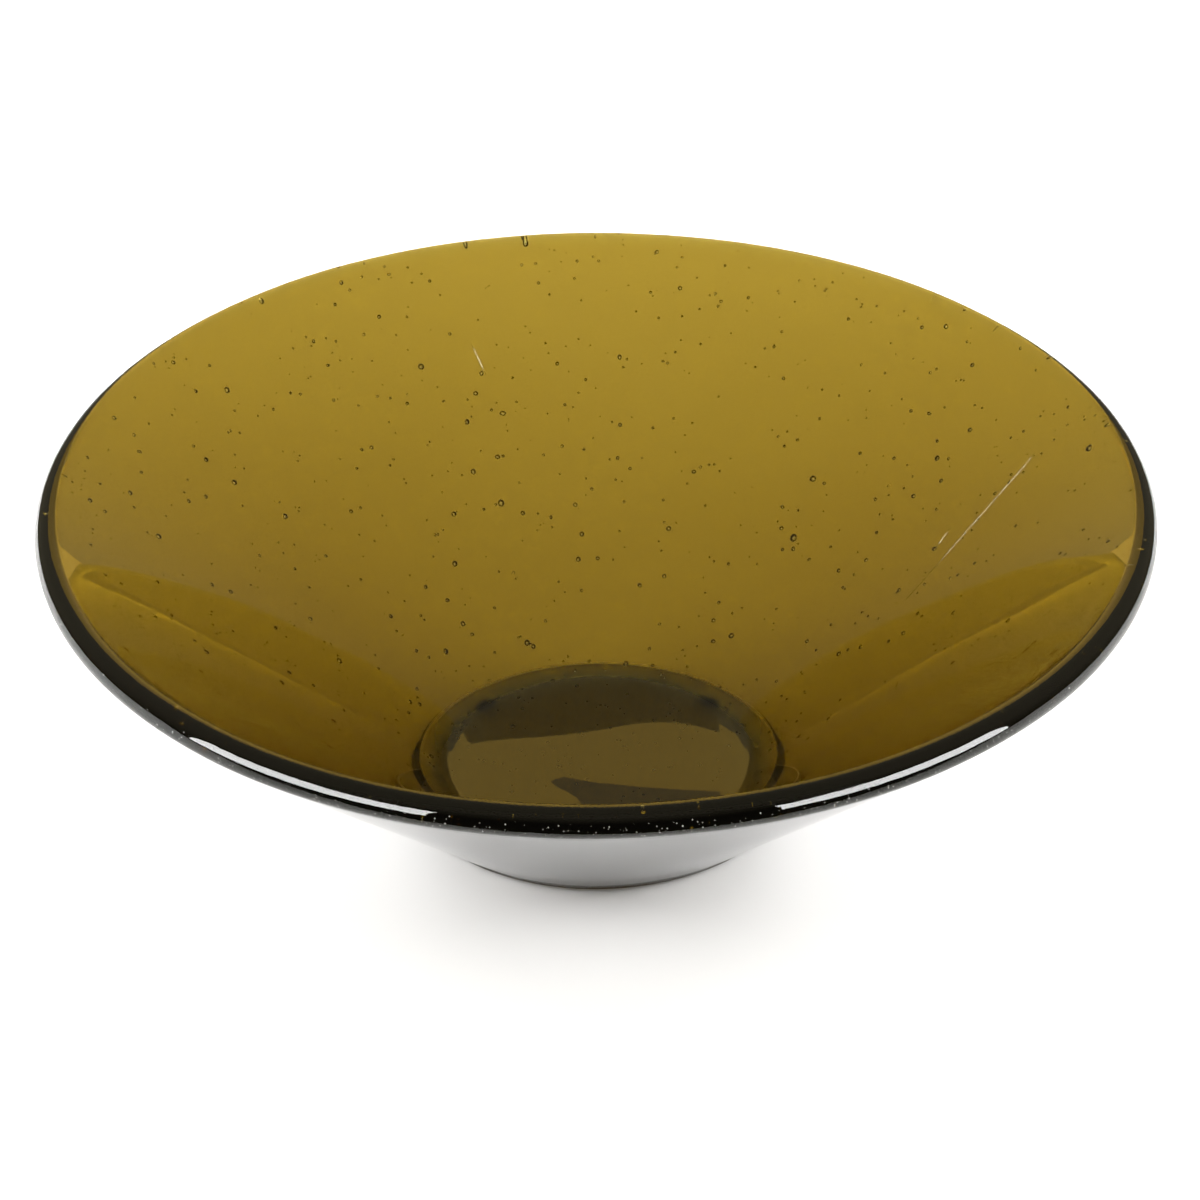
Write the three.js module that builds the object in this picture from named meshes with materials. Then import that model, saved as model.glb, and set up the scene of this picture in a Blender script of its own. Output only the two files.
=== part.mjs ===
// Art glass bowl: one piece of thick seeded glass, a shallow cone with a rounded lip and a flat floor,
// standing on four clear self-adhesive bumper pads. Millimetres, +Z up. The origin is on the table, on
// the bowl's axis.

import * as THREE from 'three';

// Driving dimensions of the bowl.
const RIM_DIAMETER = 400; // across the outside of the lip
const BOWL_HEIGHT = 125; // from the table to the top of the lip
const LIP_RADIUS = 5.5; // the lip is a half round, as thick as the wall at the top
const FOOT_DIAMETER = 146; // where the outer wall starts
const HEEL_RADIUS = 1.5; // rounding of the foot's ground edge
const FLOOR_DIAMETER = 113.6; // where the inner wall and the floor would meet without their fillet
const FLOOR_THICKNESS = 6;
const FLOOR_FILLET = 6.5; // radius between the floor and the inner wall

// Driving dimensions of the bumper pads.
const PAD_COUNT = 4;
const PAD_DIAMETER = 9.5;
const PAD_THICKNESS = 1;
const PAD_BEVEL = 0.3;
const PAD_CIRCLE_DIAMETER = 124; // circle through the pads' centres
const PAD_GAP = 0.3; // left free between a pad and the glass, where the adhesive film is

// Smoothness of the turned shapes.
const BOWL_SEGMENTS = 84;
const PAD_SEGMENTS = 24;
const ARC_DIVISIONS = 5;

const QUARTER_TURN = Math.PI / 2;
const footBottom = PAD_THICKNESS + PAD_GAP;
const floorTop = footBottom + FLOOR_THICKNESS;

function glassMaterial() {
  return new THREE.MeshStandardMaterial({
    name: 'seeded_glass',
    color: 0x9c8034,
    roughness: 0.05,
    metalness: 0,
    transparent: true,
    opacity: 0.6,
  });
}

function padMaterial() {
  return new THREE.MeshStandardMaterial({
    name: 'clear_pad',
    color: 0xd9dcd6,
    roughness: 0.35,
    metalness: 0,
  });
}

// Angle above the horizontal of the line from a point that touches a circle, on the circle's lower
// side (side = -1) or its upper side (side = 1).
function tangentAngle(from, centre, radius, side) {
  const reach = centre.clone().sub(from);
  return reach.angle() + side * Math.asin(radius / reach.length());
}

// Half section of the bowl, as x = distance from the axis and y = height, from the middle of the
// underside, out around the wall and lip, and back in to the middle of the floor.
function bowlProfile() {
  const lip = new THREE.Vector2(RIM_DIAMETER / 2 - LIP_RADIUS, BOWL_HEIGHT - LIP_RADIUS);
  const heel = new THREE.Vector2(FOOT_DIAMETER / 2 - HEEL_RADIUS, footBottom + HEEL_RADIUS);
  const wallStart = new THREE.Vector2(FOOT_DIAMETER / 2, heel.y);
  const floorCorner = new THREE.Vector2(FLOOR_DIAMETER / 2, floorTop);
  const outerSlope = tangentAngle(wallStart, lip, LIP_RADIUS, -1);
  const innerSlope = tangentAngle(floorCorner, lip, LIP_RADIUS, 1);
  const filletX = floorCorner.x - FLOOR_FILLET * Math.tan(innerSlope / 2);

  const path = new THREE.Path();
  path.moveTo(0, footBottom);
  path.lineTo(heel.x, footBottom);
  path.absarc(heel.x, heel.y, HEEL_RADIUS, -QUARTER_TURN, 0, false);
  path.absarc(lip.x, lip.y, LIP_RADIUS, outerSlope - QUARTER_TURN, innerSlope + QUARTER_TURN, false);
  path.absarc(filletX, floorTop + FLOOR_FILLET, FLOOR_FILLET, innerSlope - QUARTER_TURN, -QUARTER_TURN, true);
  path.lineTo(0, floorTop);
  return path.getPoints(ARC_DIVISIONS);
}

// Half section of a pad, bevelled where it meets the table.
function padProfile() {
  const radius = PAD_DIAMETER / 2;
  return [
    new THREE.Vector2(0, 0),
    new THREE.Vector2(radius - PAD_BEVEL, 0),
    new THREE.Vector2(radius, PAD_BEVEL),
    new THREE.Vector2(radius, PAD_THICKNESS),
    new THREE.Vector2(0, PAD_THICKNESS),
  ];
}

// Solid turned about +Z from a half section.
function turned(name, profile, segments, material) {
  const geometry = new THREE.LatheGeometry(profile, segments);
  geometry.rotateX(QUARTER_TURN);
  const mesh = new THREE.Mesh(geometry, material);
  mesh.name = name;
  return mesh;
}

function bowl() {
  return turned('glass_bowl', bowlProfile(), BOWL_SEGMENTS, glassMaterial());
}

function bumperPad(index) {
  const pad = turned(`bumper_pad_${index + 1}`, padProfile(), PAD_SEGMENTS, padMaterial());
  const angle = ((index + 0.5) / PAD_COUNT) * 2 * Math.PI;
  const distance = PAD_CIRCLE_DIAMETER / 2;
  pad.position.set(distance * Math.cos(angle), distance * Math.sin(angle), 0);
  return pad;
}

const artGlassBowl = new THREE.Group();
artGlassBowl.name = 'art_glass_bowl';
artGlassBowl.add(bowl());
for (let index = 0; index < PAD_COUNT; index += 1) {
  artGlassBowl.add(bumperPad(index));
}

export default artGlassBowl;
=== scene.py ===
"""Looks of the art glass bowl: one thick casting of amber-olive seeded glass on four clear bumper pads.

Metres, +Z up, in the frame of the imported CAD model. The camera looks along +Y and down into the bowl.
"""

import math

import bpy
import numpy as np
from mathutils import Matrix, Vector


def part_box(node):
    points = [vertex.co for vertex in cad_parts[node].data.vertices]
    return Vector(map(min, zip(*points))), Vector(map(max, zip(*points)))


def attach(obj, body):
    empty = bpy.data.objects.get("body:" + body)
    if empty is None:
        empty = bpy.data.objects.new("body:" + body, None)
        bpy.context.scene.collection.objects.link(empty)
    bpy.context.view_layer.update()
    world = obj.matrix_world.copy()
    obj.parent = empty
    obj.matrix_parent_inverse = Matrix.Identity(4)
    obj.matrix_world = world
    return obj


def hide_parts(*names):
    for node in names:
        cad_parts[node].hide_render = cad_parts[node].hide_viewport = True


MM = 0.001
QUARTER = math.pi / 2

# Shape of the bowl. Its outer radius and height come from the frame.
LIP_RADIUS = 5.5 * MM  # the lip is a half round, as thick as the wall at the top
FOOT_RADIUS = 73 * MM
HEEL_RADIUS = 1.5 * MM
FLOOR_RADIUS = 56.8 * MM  # where the inner wall and the floor would meet without their fillet
FLOOR_THICKNESS = 6 * MM
FLOOR_FILLET = 6.5 * MM

# Faces of the bowl: around it, and along each stretch of its section.
AROUND = 240
FLAT_STEPS = 10
HEEL_STEPS = 5
WALL_STEPS = 22
LIP_STEPS = 20
FILLET_STEPS = 7

# How far hand work takes the shape from a turned one.
RIM_TILT = 0.7 * MM
RIM_TILT_TURN = 0.4  # radians
RIM_SADDLE = 0.5 * MM
RIM_OVAL = (0.9 * MM, 0.7 * MM)  # along X, and at 45 degrees to it
WAVE_LENGTHS = (55 * MM, 90 * MM)
WAVE_HEIGHT = 0.09 * MM
WAVES_PER_LENGTH = 5
WAVES_ADD_UP_TO = 2.2  # height that the waves of one length reach together
WAVE_SEED = 5

# Air bubbles ("seeds") in the glass.
SEED_COUNT = 1850
SEED_MEDIAN = 0.44 * MM  # radius
SEED_SPREAD = 0.45  # of the radius's logarithm
SEED_LARGEST = 1.5 * MM
SEED_DEPTHS = (0.14, 0.86)  # share of the way from the inner to the outer surface
SEED_ROOM = 0.9  # share of the room to the surface that a seed may fill
SEED_STRETCH = (0.85, 1.15)  # along each axis
RANDOM_SEED = 17

# Air drawn out into thin lines under the inner surface. Each point is a turn about the axis, in degrees,
# and a distance from it.
AIR_LINES = (
    ((18, 172 * MM), (17.5, 167 * MM), (13, 118 * MM)),
    ((107, 162 * MM), (106, 152 * MM)),
    ((19, 140 * MM), (18, 133 * MM)),
)
AIR_LINE_RADIUS = 0.09 * MM
AIR_LINE_DEPTH = 0.9 * MM
AIR_LINE_SIDES = 6

# A larger bubble by the front of the lip.
LARGE_BUBBLE_TURN = -42.5
LARGE_BUBBLE_DISTANCE = 184 * MM
LARGE_BUBBLE_RADIUS = 1.1 * MM
LARGE_BUBBLE_DEPTH = 1.4 * LARGE_BUBBLE_RADIUS

# Tiny pits on the outside of the lip.
PIT_SPACING = 0.8 * MM
PIT_LARGEST = 0.2 * MM  # radius
PIT_ROUGHNESS = 0.5
PITTED_FROM_AXIS = 196.5 * MM
PITTED_BELOW = 121.5 * MM
PITTED_SHARE = (0.34, 0.02)  # of the places in front, and of those further back
PITTED_FRONT = (-185 * MM, -80 * MM)  # Y between which the share changes

# The glass. Absorption is strongest in blue, which makes it amber-olive.
SURFACE_TINT = (0.95, 0.95, 0.92, 1)
GLASS_IOR = 1.52
ABSORPTION_COLOUR = (0.668, 0.585, 0.12, 1)
ABSORPTION_DENSITY = 430
GROUND_HEIGHT = (1.6 * MM, 1.9 * MM)  # ground up to the first height, polished from the second
GROUND_ROUGHNESS = (0.35, 0.6)

# Fineness of the grain on each surface, in waves per metre, and the values between which noise mostly lies.
GROUND_GRAIN = 900
PAD_GRAIN = 2500
TABLE_GRAIN = 3
NOISE_RANGE = (0.3, 0.7)

# The pads' plastic.
PAD_TINT = (0.9, 0.92, 0.9, 1)
PAD_CLEARNESS = 0.7
PAD_ROUGHNESS = (0.24, 0.42)
PAD_GRAIN_HEIGHT = 0.05 * MM

# The room's light. Its brightness rises from low down in front to overhead.
ROOM_FRONT = 0.05
ROOM_TOP = 0.28
ROOM_TINT = (1, 0.9, 0.6, 1)
ROOM_UP = (0, 0.6, 1)  # the direction in which it rises
ROOM_RANGE = (-0.2, 0.65)  # where along that direction it starts and stops rising

# Brightness of the lights, and their colours.
FILL = 30
FRONT_FILL = 1.5
SWEEP = 2.0
BOX = 15
WARM = 0.83
WHITE = (1, 1, 1)
AMBER = (1, 0.6, 0.03)
LIGHT_LIFT = 20 * MM  # from the table to a light's lower edge

# The table.
FLOOR_HALF = 4.0
TABLE_FRONT = -0.285  # the table in front of this isn't mirrored in the glass
TABLE_SHADE = (0.895, 0.905)

# Camera: the point it aims at, its distance from the bowl, its height angle, roll and lens.
AIM = Vector((0.0013, 0.0083, 0.0727))
BOWL_MIDDLE = Vector((0, 0, 0.06))
CAMERA_DISTANCE = 1.5
CAMERA_ELEVATION = math.radians(33.02)
CAMERA_ROLL = math.radians(-0.66)
LENS_MM = 123.5
SENSOR_MM = 36


def arc(centre, radius, start, end, steps):
    """Points along an arc, as (distance from the axis, height)."""
    angles = np.linspace(start, end, steps + 1)
    return np.column_stack([centre[0] + radius * np.cos(angles), centre[1] + radius * np.sin(angles)])


def line(start, end, steps):
    """Points between two points, without the first and the last."""
    share = np.linspace(0, 1, steps + 1)[1:-1, None]
    return np.asarray(start) * (1 - share) + np.asarray(end) * share


def tangent_angle(start, centre, radius, side):
    """Angle of the line from a point that touches a circle on its lower (-1) or upper (1) side."""
    dx, dy = np.subtract(centre, start)
    return math.atan2(dy, dx) + side * math.asin(radius / math.hypot(dx, dy))


def bowl_profile(radius, bottom, top):
    """Half section of the bowl, out from under the foot, up and over the lip and in to the floor."""
    floor = bottom + FLOOR_THICKNESS
    lip = (radius - LIP_RADIUS, top - LIP_RADIUS)
    heel = (FOOT_RADIUS - HEEL_RADIUS, bottom + HEEL_RADIUS)
    outer = tangent_angle((FOOT_RADIUS, heel[1]), lip, LIP_RADIUS, -1)
    inner = tangent_angle((FLOOR_RADIUS, floor), lip, LIP_RADIUS, 1)
    fillet = (FLOOR_RADIUS - FLOOR_FILLET * math.tan(inner / 2), floor + FLOOR_FILLET)
    heel_arc = arc(heel, HEEL_RADIUS, -QUARTER, 0, HEEL_STEPS)
    lip_arc = arc(lip, LIP_RADIUS, outer - QUARTER, inner + QUARTER, LIP_STEPS)
    fillet_arc = arc(fillet, FLOOR_FILLET, inner - QUARTER, -QUARTER, FILLET_STEPS)
    return np.vstack([
        line((0, bottom), heel_arc[0], FLAT_STEPS),
        heel_arc,
        line(heel_arc[-1], lip_arc[0], WALL_STEPS),
        lip_arc,
        line(lip_arc[-1], fillet_arc[0], WALL_STEPS),
        fillet_arc,
        line(fillet_arc[-1], (0, floor), FLAT_STEPS),
    ])


def waves(points, lengths, seed):
    """Smooth random height, about -1 to 1, made of plane waves of the given lengths."""
    rng = np.random.default_rng(seed)
    height = np.zeros(len(points))
    for length in lengths:
        for _ in range(WAVES_PER_LENGTH):
            direction = rng.normal(size=3)
            direction /= np.linalg.norm(direction)
            height += np.sin(points @ direction * 2 * math.pi / length + rng.uniform(0, 2 * math.pi))
    return height / (WAVES_ADD_UP_TO * math.sqrt(len(lengths)))


def turned_mesh(profile, around):
    """Vertices and faces of a solid turned from a half section that starts and ends beside the axis."""
    angles = np.linspace(0, 2 * math.pi, around, endpoint=False)
    ring = np.column_stack([np.cos(angles), np.sin(angles)])
    rows = len(profile)
    points = np.empty((rows, around, 3))
    points[:, :, :2] = profile[:, None, :1] * ring[None]
    points[:, :, 2] = profile[:, 1:2]
    verts = np.vstack([points.reshape(-1, 3), [[0, 0, profile[0, 1]], [0, 0, profile[-1, 1]]]])
    faces = []
    for row in range(rows - 1):
        for a in range(around):
            b = (a + 1) % around
            low, high = row * around, (row + 1) * around
            faces.append((low + a, low + b, high + b, high + a))
    first, last = rows * around, rows * around + 1
    for a in range(around):
        b = (a + 1) % around
        faces.append((first, b, a))
        faces.append((last, (rows - 1) * around + a, (rows - 1) * around + b))
    return verts, faces


def hand_made(verts, radius):
    """Shifts the turned shape a little, as hand work does: a wavy rim and gently uneven surfaces."""
    out = verts.copy()
    reach = np.hypot(verts[:, 0], verts[:, 1]) / radius
    angle = np.arctan2(verts[:, 1], verts[:, 0])
    out[:, 2] += reach**3 * (RIM_TILT * np.sin(angle + RIM_TILT_TURN) - RIM_SADDLE * np.sin(2 * angle))
    oval = RIM_OVAL[0] * np.cos(2 * angle) + RIM_OVAL[1] * np.sin(2 * angle)
    stretch = 1 - reach**2 * oval / radius
    out[:, :2] *= stretch[:, None]
    out[:, 2] += waves(verts, WAVE_LENGTHS, WAVE_SEED) * WAVE_HEIGHT
    return out


def seed_shape():
    """Unit ball with few faces, smooth enough for a bubble a few millimetres across."""
    rows, around = 5, 10
    angles = np.linspace(-QUARTER, QUARTER, rows + 1)[1:-1]
    profile = np.column_stack([np.cos(angles), np.sin(angles)])
    verts, faces = turned_mesh(profile, around)
    verts[-2, 2], verts[-1, 2] = -1, 1
    return verts, faces


def wall_halves(profile):
    """The inner and the outer half of a half section, each as (share of the way out, distance, height)."""
    lip_top = int(np.argmax(profile[:, 1]))
    lip_outside = int(np.argmax(profile[:, 0]))
    tip = (lip_top + lip_outside) // 2
    halves = []
    for half in (profile[tip + 1 :][::-1], profile[:tip]):
        share = half[:, 0] / half[-1, 0]
        order = np.argsort(share)
        halves.append((share[order], half[order, 0], half[order, 1]))
    return halves


def seed_places(rng, halves, count):
    """Places inside the wall, lip and floor, with the room that each has to the surface."""
    inner, outer = halves
    places = []
    for _ in range(count):
        share = math.sqrt(rng.uniform(0.0, 1.0))
        depth = rng.uniform(*SEED_DEPTHS)
        a = np.array([np.interp(share, inner[0], inner[1]), np.interp(share, inner[0], inner[2])])
        b = np.array([np.interp(share, outer[0], outer[1]), np.interp(share, outer[0], outer[2])])
        spot = a * (1 - depth) + b * depth
        turn = rng.uniform(0, 2 * math.pi)
        room = min(depth, 1 - depth) * np.linalg.norm(b - a)
        places.append((spot[0] * math.cos(turn), spot[0] * math.sin(turn), spot[1], room))
    return places


def seeds(halves):
    """Closed shapes of the random bubbles, each as vertices and faces."""
    rng = np.random.default_rng(RANDOM_SEED)
    ball, faces = seed_shape()
    shapes = []
    for x, y, z, room in seed_places(rng, halves, SEED_COUNT):
        size = min(SEED_MEDIAN * math.exp(rng.normal(0, SEED_SPREAD)), SEED_LARGEST, room * SEED_ROOM)
        shapes.append((ball * size * rng.uniform(*SEED_STRETCH, 3) + (x, y, z), faces))
    return shapes


def inner_point(inner, turn, distance, depth):
    """Place below the inner surface at a turn in degrees and a distance from the axis."""
    height = np.interp(distance, inner[1], inner[2]) - depth
    angle = math.radians(turn)
    return np.array([distance * math.cos(angle), distance * math.sin(angle), height])


def large_bubble(inner):
    ball, faces = seed_shape()
    place = inner_point(inner, LARGE_BUBBLE_TURN, LARGE_BUBBLE_DISTANCE, LARGE_BUBBLE_DEPTH)
    return ball * LARGE_BUBBLE_RADIUS + place, faces


def air_line(inner, path):
    """Thin tube under the inner surface along a path of turns and distances, closed at both ends."""
    sides = AIR_LINE_SIDES
    points = [inner_point(inner, turn, distance, AIR_LINE_DEPTH) for turn, distance in path]
    verts, faces = [], []
    for index, point in enumerate(points):
        ahead = points[min(index + 1, len(points) - 1)] - points[max(index - 1, 0)]
        ahead = ahead / np.linalg.norm(ahead)
        across = np.cross(ahead, (0, 0, 1))
        across /= np.linalg.norm(across)
        over = np.cross(across, ahead)
        for side in range(sides):
            angle = 2 * math.pi * side / sides
            verts.append(point + AIR_LINE_RADIUS * (math.cos(angle) * across + math.sin(angle) * over))
    for row in range(len(points) - 1):
        for a in range(sides):
            b = (a + 1) % sides
            faces.append((row * sides + a, row * sides + b, (row + 1) * sides + b, (row + 1) * sides + a))
    last = (len(points) - 1) * sides
    faces.append(tuple(reversed(range(sides))))
    faces.append(tuple(last + a for a in range(sides)))
    return np.array(verts), faces


def with_holes(verts, faces, holes):
    """A solid with closed shapes taken out of it, their faces turned to look into the hole."""
    all_verts, all_faces, start = [verts], list(faces), len(verts)
    for hole_verts, hole_faces in holes:
        all_verts.append(hole_verts)
        all_faces += [tuple(start + i for i in reversed(face)) for face in hole_faces]
        start += len(hole_verts)
    return np.vstack(all_verts), all_faces


def new_object(name, verts, faces):
    mesh = bpy.data.meshes.new(name)
    mesh.from_pydata([tuple(v) for v in verts], [], faces)
    mesh.shade_smooth()
    obj = bpy.data.objects.new(name, mesh)
    bpy.context.scene.collection.objects.link(obj)
    return obj


def glass_bowl():
    low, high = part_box("glass_bowl")
    radius = high.x
    profile = bowl_profile(radius, low.z, high.z)
    halves = wall_halves(profile)
    inner = halves[0]
    holes = seeds(halves) + [large_bubble(inner)] + [air_line(inner, path) for path in AIR_LINES]
    verts, faces = with_holes(*turned_mesh(profile, AROUND), holes)
    obj = new_object("bowl_glass", hand_made(verts, radius), faces)
    obj.data.materials.append(seeded_glass())
    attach(obj, "root")
    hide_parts("glass_bowl")


def material(name):
    made = bpy.data.materials.new(name)
    made.use_nodes = True
    tree = made.node_tree
    return made, tree, tree.nodes["Principled BSDF"]


def math_node(tree, operation, first, second=0.5):
    """Output of a Math node. Each input is another node's output or a number."""
    node = tree.nodes.new("ShaderNodeMath")
    node.operation = operation
    for socket, value in zip(node.inputs, (first, second)):
        if isinstance(value, (int, float)):
            socket.default_value = value
        else:
            tree.links.new(value, socket)
    return node.outputs[0]


def ramp_node(tree, value, start, end, low, high):
    """Output of a node that goes smoothly from low to high while the value goes from start to end."""
    node = tree.nodes.new("ShaderNodeMapRange")
    node.interpolation_type = "SMOOTHSTEP"
    for name, number in (("From Min", start), ("From Max", end), ("To Min", low), ("To Max", high)):
        node.inputs[name].default_value = number
    tree.links.new(value, node.inputs["Value"])
    return node.outputs["Result"]


def noise_node(tree, where, scale):
    node = tree.nodes.new("ShaderNodeTexNoise")
    node.inputs["Scale"].default_value = scale
    tree.links.new(where, node.inputs["Vector"])
    return node.outputs["Fac"]


def object_place(tree):
    return tree.nodes.new("ShaderNodeTexCoord").outputs["Object"]


def seeded_glass():
    """Amber-olive glass, polished but for the ground underside of the foot, with fine pits on the lip."""
    made, tree, shader = material("seeded_glass")
    shader.inputs["Base Color"].default_value = SURFACE_TINT
    shader.inputs["IOR"].default_value = GLASS_IOR
    where = object_place(tree)
    split = tree.nodes.new("ShaderNodeSeparateXYZ")
    tree.links.new(where, split.inputs[0])
    pits = lip_pits(tree, where, split)
    ground = ground_foot(tree, where, split)
    tree.links.new(math_node(tree, "SUBTRACT", 1, pits), shader.inputs["Transmission Weight"])
    rough = math_node(tree, "MAXIMUM", math_node(tree, "MULTIPLY", pits, PIT_ROUGHNESS), ground)
    tree.links.new(rough, shader.inputs["Roughness"])
    absorb = tree.nodes.new("ShaderNodeVolumeAbsorption")
    absorb.inputs["Color"].default_value = ABSORPTION_COLOUR
    absorb.inputs["Density"].default_value = ABSORPTION_DENSITY
    tree.links.new(absorb.outputs["Volume"], tree.nodes["Material Output"].inputs["Volume"])
    return made


def distance_from_axis(tree, split):
    squares = []
    for axis in "XY":
        size = math_node(tree, "ABSOLUTE", split.outputs[axis])
        squares.append(math_node(tree, "POWER", size, 2))
    return math_node(tree, "SQRT", math_node(tree, "ADD", *squares))


def lip_pits(tree, where, split):
    """1 in tiny pits low on the outside of the lip, most of them at its front, and 0 elsewhere."""
    cells = tree.nodes.new("ShaderNodeTexVoronoi")
    cells.inputs["Scale"].default_value = 1 / PIT_SPACING
    tree.links.new(where, cells.inputs["Vector"])
    draw = tree.nodes.new("ShaderNodeSeparateColor")
    tree.links.new(cells.outputs["Color"], draw.inputs[0])
    size = math_node(tree, "MULTIPLY", draw.outputs[0], PIT_LARGEST / PIT_SPACING)
    inside = math_node(tree, "LESS_THAN", cells.outputs["Distance"], size)
    share = ramp_node(tree, split.outputs["Y"], *PITTED_FRONT, *PITTED_SHARE)
    chosen = math_node(tree, "LESS_THAN", draw.outputs[1], share)
    outside = math_node(tree, "GREATER_THAN", distance_from_axis(tree, split), PITTED_FROM_AXIS)
    under = math_node(tree, "LESS_THAN", split.outputs["Z"], PITTED_BELOW)
    place = math_node(tree, "MULTIPLY", outside, under)
    return math_node(tree, "MULTIPLY", math_node(tree, "MULTIPLY", inside, chosen), place)


def ground_foot(tree, where, split):
    """Roughness of the ground underside, with an uneven grain, and 0 above it."""
    under = ramp_node(tree, split.outputs["Z"], *GROUND_HEIGHT, 1, 0)
    grain = ramp_node(tree, noise_node(tree, where, GROUND_GRAIN), *NOISE_RANGE, *GROUND_ROUGHNESS)
    return math_node(tree, "MULTIPLY", under, grain)


def pad_rubber():
    """Clear soft plastic with a faint uneven grain."""
    made, tree, shader = material("clear_pad")
    shader.inputs["Base Color"].default_value = PAD_TINT
    shader.inputs["Transmission Weight"].default_value = PAD_CLEARNESS
    grain = noise_node(tree, object_place(tree), PAD_GRAIN)
    tree.links.new(ramp_node(tree, grain, *NOISE_RANGE, *PAD_ROUGHNESS), shader.inputs["Roughness"])
    bump = tree.nodes.new("ShaderNodeBump")
    bump.inputs["Strength"].default_value = 0.2
    bump.inputs["Distance"].default_value = PAD_GRAIN_HEIGHT
    tree.links.new(grain, bump.inputs["Height"])
    tree.links.new(bump.outputs["Normal"], shader.inputs["Normal"])
    return made


def dress_pads(frame):
    rubber = pad_rubber()
    for name, node in frame["nodes"].items():
        if name.startswith("bumper_pad"):
            node.data.materials.clear()
            node.data.materials.append(rubber)


def floor_stage():
    """A white table. The glass doesn't mirror the stretch in front of TABLE_FRONT, as if it ended there."""
    paint = floor_paint()
    half = FLOOR_HALF
    for name, front, back in (("floor", TABLE_FRONT, half), ("floor_front", -half, TABLE_FRONT)):
        corners = [(-half, front, 0), (half, front, 0), (half, back, 0), (-half, back, 0)]
        piece = new_object(name, corners, [(0, 1, 2, 3)])
        piece.data.materials.append(paint)
        piece.visible_glossy = name == "floor"


def floor_paint():
    """Matt white with a very faint unevenness."""
    made, tree, shader = material("floor")
    grain = noise_node(tree, object_place(tree), TABLE_GRAIN)
    shade = ramp_node(tree, grain, *NOISE_RANGE, *TABLE_SHADE)
    grey = tree.nodes.new("ShaderNodeCombineColor")
    for channel in ("Red", "Green", "Blue"):
        tree.links.new(shade, grey.inputs[channel])
    tree.links.new(grey.outputs["Color"], shader.inputs["Base Color"])
    shader.inputs["Roughness"].default_value = 0.9
    shader.inputs["Specular IOR Level"].default_value = 0
    return made


def area_light(name, turn, distance, size, radiance):
    """Upright softbox that faces the axis and looks as bright as radiance."""
    angle = math.radians(turn)
    data = bpy.data.lights.new(name, "AREA")
    data.shape = "RECTANGLE"
    data.size, data.size_y = size
    data.energy = radiance * math.pi * size[0] * size[1]
    lamp = bpy.data.objects.new(name, data)
    lamp.location = (distance * math.cos(angle), distance * math.sin(angle), LIGHT_LIFT + size[1] / 2)
    inward = Vector((-math.cos(angle), -math.sin(angle), 0))
    lamp.rotation_euler = inward.to_track_quat("-Z", "Y").to_euler()
    bpy.context.scene.collection.objects.link(lamp)
    return lamp


def lights():
    """Low fills that light the table, softboxes and a warm card that the glass mirrors, and a bright sweep
    that shows through the glass. The last column says which of the three a light is for."""
    for name, turn, distance, size, radiance, colour, seen in (
        ("fill_left", 165, 1.8, (1.3, 0.7), FILL, WHITE, "table"),
        ("fill_right", 15, 1.8, (1.3, 0.7), FILL, WHITE, "table"),
        ("fill_back_left", 120, 1.8, (1.3, 0.7), FILL, WHITE, "table"),
        ("fill_back_right", 60, 1.8, (1.3, 0.7), FILL, WHITE, "table"),
        ("fill_front_left", -144, 1.9, (1.6, 1.0), FRONT_FILL, WHITE, "table"),
        ("fill_front_right", -36, 1.9, (1.6, 1.0), FRONT_FILL, WHITE, "table"),
        ("softbox_left", -144, 1.7, (1.45, 0.95), BOX, WHITE, "mirror"),
        ("softbox_right", -36, 1.7, (1.45, 0.95), BOX, WHITE, "mirror"),
        ("warm_card", 90, 2.0, (1.2, 1.42), WARM, AMBER, "mirror"),
        ("sweep_back", 90, 2.6, (6.0, 3.0), SWEEP, WHITE, "glass"),
        ("sweep_left", 180, 2.8, (5.4, 3.0), SWEEP, WHITE, "glass"),
        ("sweep_right", 0, 2.8, (5.4, 3.0), SWEEP, WHITE, "glass"),
    ):
        lamp = area_light(name, turn, distance, size, radiance)
        lamp.data.color = colour
        lamp.visible_diffuse = seen == "table"
        lamp.visible_glossy = seen == "mirror"
        lamp.visible_transmission = seen == "glass"


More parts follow.
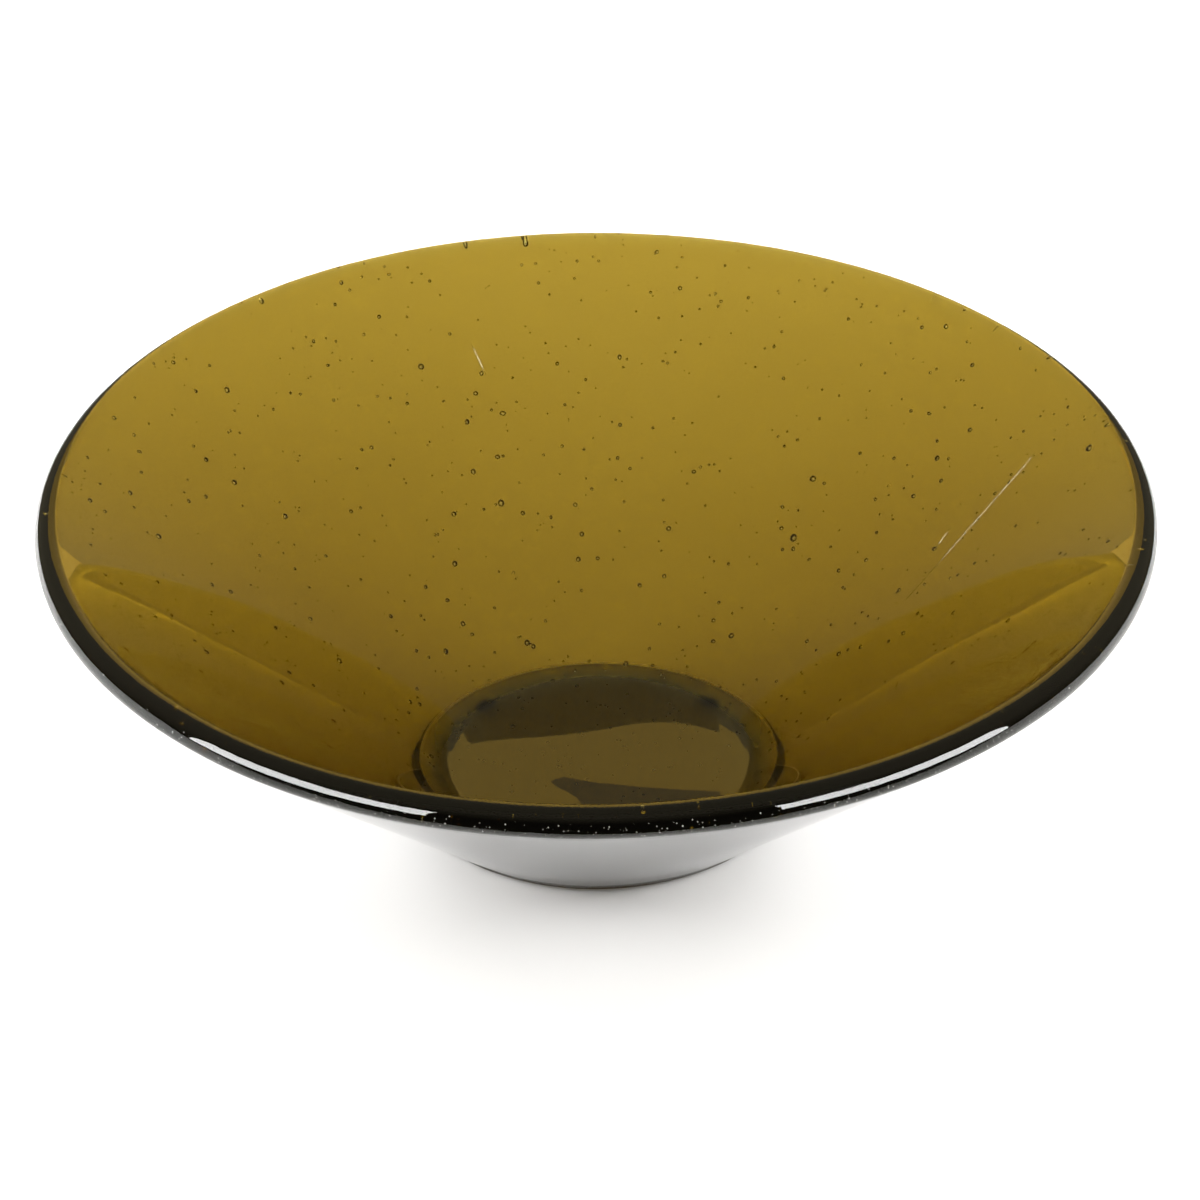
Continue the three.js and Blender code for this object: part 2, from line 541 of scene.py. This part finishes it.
def room():
    """Dim warm light from all round, darkest low down in front."""
    world = bpy.data.worlds.new("room")
    bpy.context.scene.world = world
    world.use_nodes = True
    tree = world.node_tree
    background = tree.nodes["Background"]
    background.inputs["Color"].default_value = ROOM_TINT
    coords = tree.nodes.new("ShaderNodeTexCoord")
    upward = tree.nodes.new("ShaderNodeVectorMath")
    upward.operation = "DOT_PRODUCT"
    upward.inputs[1].default_value = ROOM_UP
    tree.links.new(coords.outputs["Generated"], upward.inputs[0])
    level = tree.nodes.new("ShaderNodeMapRange")
    level.inputs["From Min"].default_value, level.inputs["From Max"].default_value = ROOM_RANGE
    level.inputs["To Min"].default_value = ROOM_FRONT
    level.inputs["To Max"].default_value = ROOM_TOP
    tree.links.new(upward.outputs["Value"], level.inputs["Value"])
    tree.links.new(level.outputs["Result"], background.inputs["Strength"])


def camera():
    data = bpy.data.cameras.new("camera")
    data.lens = LENS_MM
    data.sensor_width = SENSOR_MM
    cam = bpy.data.objects.new("camera", data)
    out = Vector((0, -math.cos(CAMERA_ELEVATION), math.sin(CAMERA_ELEVATION)))
    cam.location = BOWL_MIDDLE + out * CAMERA_DISTANCE
    turn = (AIM - cam.location).to_track_quat("-Z", "Y").to_matrix()
    cam.rotation_euler = (turn @ Matrix.Rotation(CAMERA_ROLL, 3, "Z")).to_euler()
    bpy.context.scene.collection.objects.link(cam)
    bpy.context.scene.camera = cam


def settings():
    """Plain colours, and enough bounces for light that is guided along inside the glass."""
    scene = bpy.context.scene
    scene.view_settings.view_transform = "Standard"
    scene.view_settings.look = "None"
    scene.cycles.use_denoising = True
    scene.cycles.max_bounces = 32
    scene.cycles.transmission_bounces = 24
    scene.cycles.glossy_bounces = 16
    scene.cycles.diffuse_bounces = 4
    scene.cycles.sample_clamp_indirect = 8


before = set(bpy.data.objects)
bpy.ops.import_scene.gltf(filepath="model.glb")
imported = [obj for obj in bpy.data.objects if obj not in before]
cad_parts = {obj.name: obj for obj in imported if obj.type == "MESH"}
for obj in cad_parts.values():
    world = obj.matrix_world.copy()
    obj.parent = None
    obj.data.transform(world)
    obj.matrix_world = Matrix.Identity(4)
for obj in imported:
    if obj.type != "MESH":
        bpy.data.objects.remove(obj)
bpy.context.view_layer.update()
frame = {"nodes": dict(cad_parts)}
glass_bowl()
dress_pads(frame)
floor_stage()
lights()
room()
camera()
settings()
